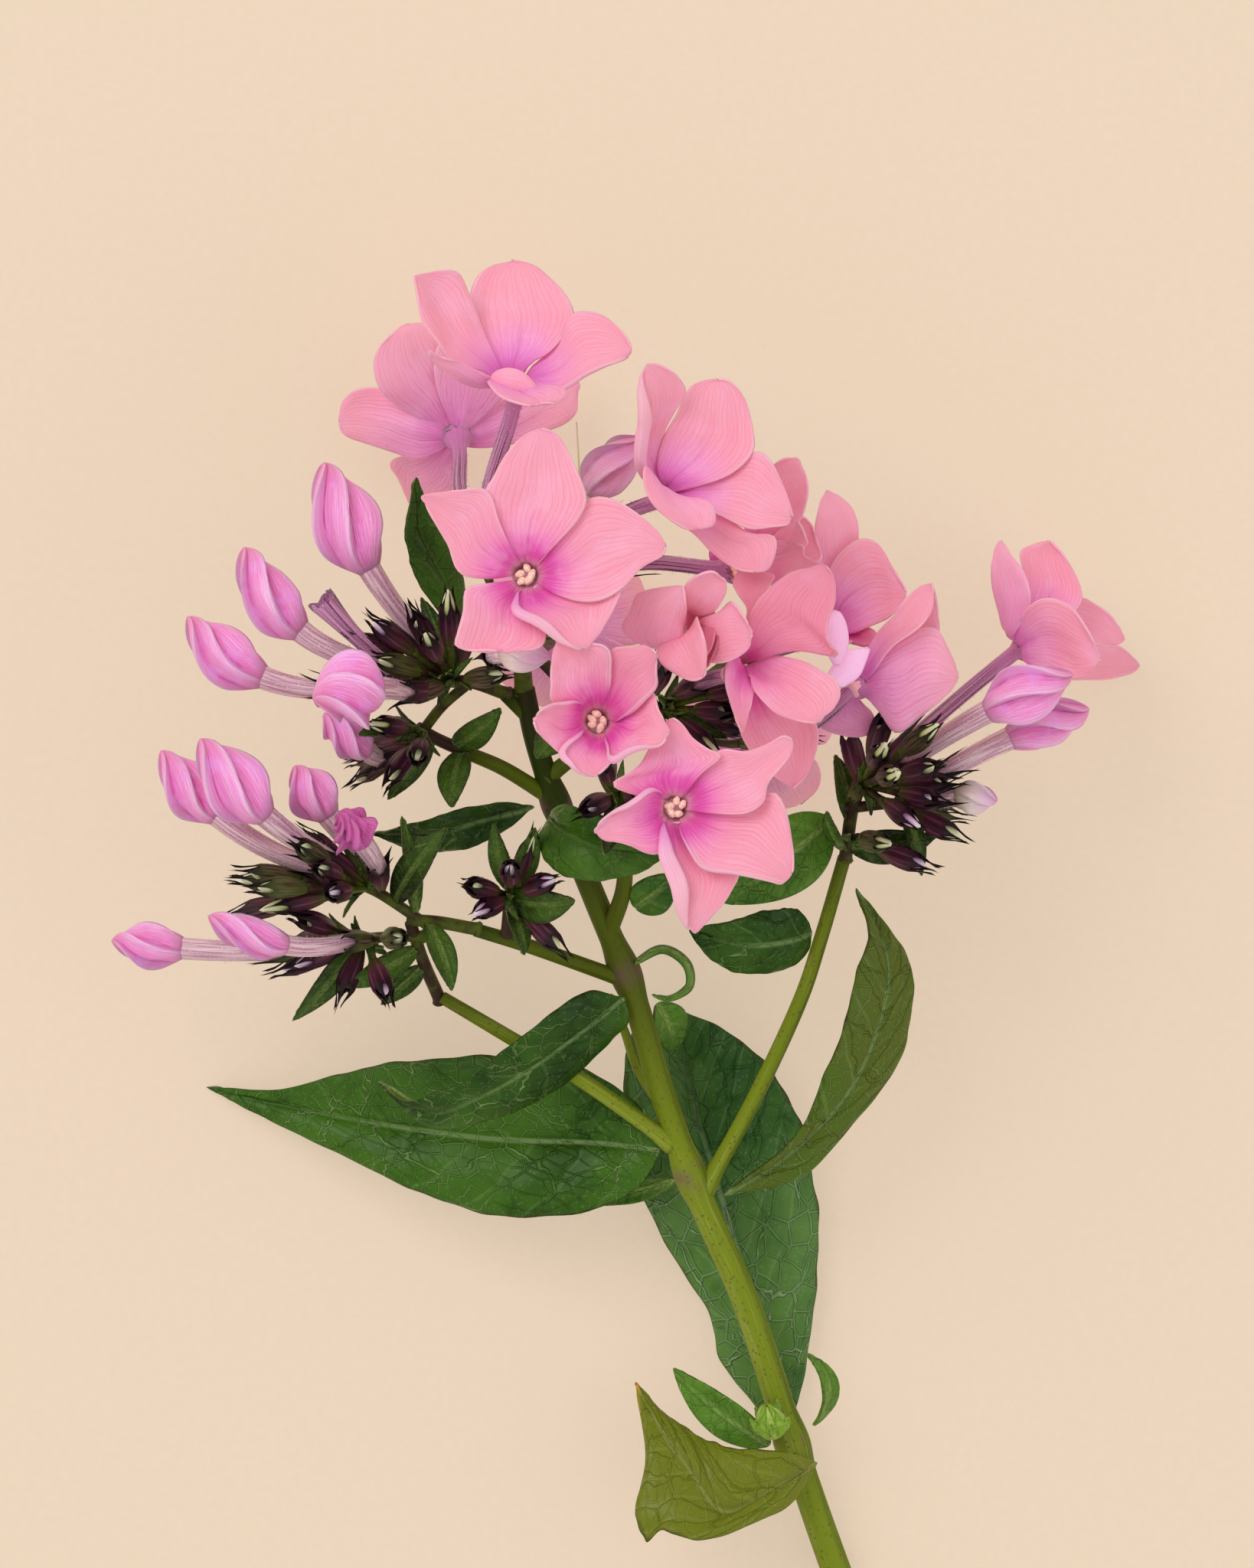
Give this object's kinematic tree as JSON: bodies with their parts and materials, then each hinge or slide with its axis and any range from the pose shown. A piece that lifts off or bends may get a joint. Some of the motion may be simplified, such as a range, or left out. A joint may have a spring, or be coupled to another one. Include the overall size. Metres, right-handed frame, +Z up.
{
  "type": "cut garden phlox stem in flower",
  "caption": "Cut stem of garden phlox lying down, with open pink five-petalled blooms, twisted buds, dark calyces and paired leaves.",
  "frame": {"origin": "middle of the small flat under the cut end of the stem, on the surface that the plant lies on", "axes": "+Y runs up the stem towards the flowers, +X to the right of the plant seen from above, +Z up, away from the surface"},
  "size_m": [0.1366, 0.1947, 0.074],
  "materials": {
    "stem": "green stem skin, slightly glossy, purple at the nodes",
    "calyx": "dark maroon calyx skin with a greenish base",
    "petal": "soft satin petal, salmon pink with a magenta eye",
    "bud": "satin pleated bud, pink and lavender",
    "leaf": "semi-gloss leaf skin with sunk veins",
    "young_leaf": "light green young leaf skin"
  },
  "bodies": {
    "root": {"stem": "stem", "cyme_crown": "calyx", "cyme_upper_left": "calyx", "cyme_lower_left": "calyx", "cyme_small_left": "calyx", "cyme_right": "calyx", "bloom_top": "petal", "bloom_behind": "petal", "bloom_front": "petal", "bloom_cupped": "petal", "bloom_low": "petal", "bloom_high_right": "petal", "bloom_behind_right": "petal", "bloom_right": "petal", "bloom_opening": "petal", "bloom_far": "petal", "bloom_right_back": "petal", "bloom_far_right": "petal", "bloom_under_left": "petal", "bloom_under_right": "petal", "bud_upper_left_1": "bud", "bud_upper_left_2": "bud", "bud_upper_left_3": "bud", "bud_upper_left_4": "bud", "bud_upper_left_5": "bud", "bud_lower_left_1": "bud", "bud_lower_left_2": "bud", "bud_lower_left_3": "bud", "bud_lower_left_4": "bud", "bud_lower_left_5": "bud", "bud_lower_left_6": "bud", "bud_right_1": "bud", "bud_right_2": "bud", "bud_right_3": "bud", "bud_crown_1": "bud", "bud_crown_2": "bud", "leaf_left_large": "leaf", "leaf_left_folded": "leaf", "leaf_back_large": "leaf", "leaf_right_tall": "leaf", "leaf_lowest": "leaf", "leaf_right_small": "leaf", "leaf_crown_round": "leaf", "leaf_crown_left": "leaf", "leaf_crown_top": "leaf", "leaf_low_left": "leaf", "leaf_low_right": "leaf", "leaf_under_bloom": "leaf", "leaf_behind_bloom": "leaf", "leaf_shoot": "leaf", "leaf_narrow_back": "leaf", "bud_axillary": "young_leaf"}
  },
  "joints": []
}
